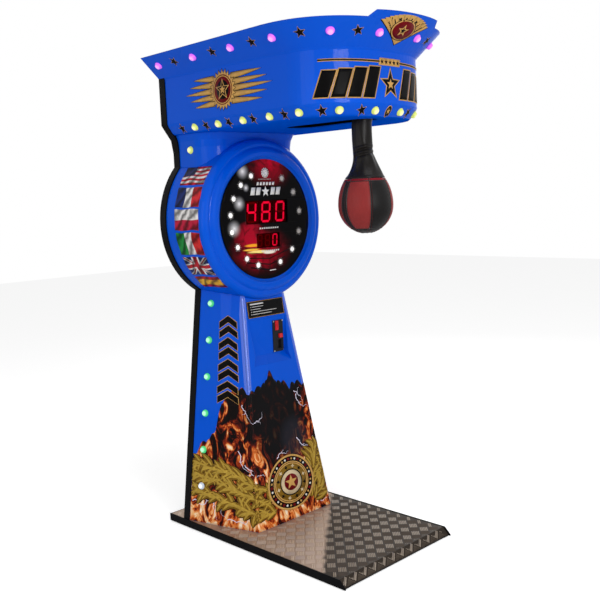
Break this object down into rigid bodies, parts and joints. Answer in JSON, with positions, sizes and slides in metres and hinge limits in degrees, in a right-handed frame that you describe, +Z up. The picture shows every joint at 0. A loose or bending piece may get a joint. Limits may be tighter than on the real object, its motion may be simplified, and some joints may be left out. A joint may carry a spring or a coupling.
{
  "type": "boxing arcade machine",
  "caption": "Free-standing boxing machine: a ball on a sprung-back arm hangs from an overhanging head above a tapered column with a round score display, coin entry and tread plate platform.",
  "frame": {"origin": "on the floor under the middle of the overall box", "axes": "+Z up; the front, where the player stands, faces -Y; +X is to the right seen from the front"},
  "size_m": [0.86, 1.272, 2.2012],
  "materials": {
    "frame_black": "satin",
    "tread_metal": "embossed tread pattern",
    "rubber_black": "matte",
    "steel_bright": "satin",
    "chrome_trim": "polished",
    "casing_black": "fine grain",
    "shell_blue": "gloss",
    "lid_black": "matte",
    "display_smoke": "gloss",
    "board_green": "satin",
    "digit_red": "gloss",
    "lamp_white": "gloss",
    "lamp_yellow": "gloss",
    "lamp_pink": "gloss",
    "lamp_green": "gloss",
    "rules_black": "gloss",
    "coin_black": "fine texture",
    "coin_red": "gloss",
    "mech_black": "matte",
    "zinc_sheet": "zinc plated",
    "casting_green": "painted",
    "arm_steel": "satin",
    "leather_black": "soft grain",
    "leather_ball": "gloss with piped seams"
  },
  "bodies": {
    "machine": {"base_side_rails": "frame_black", "base_cross_rails": "frame_black", "mast_uprights": "frame_black", "mast_foot_plates": "frame_black", "mast_ties": "frame_black", "head_rails": "frame_black", "head_beams": "frame_black", "carriage_plates": "frame_black", "buffer_bars": "frame_black", "cash_shelf": "frame_black", "door_hinges": "frame_black", "tread_plate": "tread_metal", "foot_pads": "rubber_black", "rubber_buffers": "rubber_black", "anchor_bolts": "steel_bright", "block_bolts": "steel_bright", "hinge_pins": "steel_bright", "plate_screws": "steel_bright", "reject_spring": "steel_bright", "pivot_bearings": "steel_bright", "rear_casing": "casing_black", "column_shell": "shell_blue", "drum_shell": "shell_blue", "neck_shell": "shell_blue", "head_shell": "shell_blue", "crown": "shell_blue", "head_lid": "lid_black", "display_lens": "display_smoke", "display_board": "board_green", "control_board": "board_green", "score_digits": "digit_red", "credit_digits": "digit_red", "display_lamps": "lamp_white", "head_lamps": "lamp_yellow", "crown_lamps": "lamp_pink", "column_lamps": "lamp_green", "rules_plate": "rules_black", "coin_plate": "coin_black", "coin_entry": "coin_red", "coin_mech": "mech_black", "return_cup": "mech_black", "optical_sensor": "mech_black", "mains_inlet": "mech_black", "speaker": "mech_black", "cash_box": "zinc_sheet", "coin_chute": "zinc_sheet", "power_supply": "zinc_sheet", "latch_solenoid": "zinc_sheet", "bearing_blocks": "casting_green"},
    "punch_arm": {"swing_arm": "arm_steel", "pivot_shaft": "steel_bright", "arm_sleeve": "leather_black", "punch_ball": "leather_ball", "sensor_disc": "mech_black"},
    "latch": {"latch_bolt": "steel_bright"},
    "reject": {"reject_button": "coin_red"},
    "door": {"rear_door": "casing_black", "lock_barrel": "chrome_trim"},
    "lock": {"lock_cam": "steel_bright"},
    "switch": {"power_switch": "coin_red"}
  },
  "joints": [
    {"name": "arm_swing", "type": "hinge", "parent": "machine", "child": "punch_arm", "pos_m": [0, -0.371, 1.925], "axis": [1, 0, 0], "range_deg": [0, 58]},
    {"name": "latch_slide", "type": "slide", "parent": "machine", "child": "latch", "axis": [1, 0, 0], "range_m": [0, 0.016]},
    {"name": "reject_press", "type": "slide", "parent": "machine", "child": "reject", "axis": [0, 1, 0], "range_m": [0, 0.005], "stiffness_N_per_m": 200, "deforming": ["reject_spring"]},
    {"name": "door_swing", "type": "hinge", "parent": "machine", "child": "door", "pos_m": [0.13, 0.5385, 0.52], "axis": [0, 0, -1], "range_deg": [0, 110]},
    {"name": "lock_turn", "type": "hinge", "parent": "door", "child": "lock", "pos_m": [-0.06, 0.534, 0.744], "axis": [0, -1, 0], "range_deg": [0, 90]},
    {"name": "switch_rock", "type": "hinge", "parent": "machine", "child": "switch", "pos_m": [0.22, 0.53, 0.165], "axis": [1, 0, 0], "range_deg": [0, 18]}
  ]
}
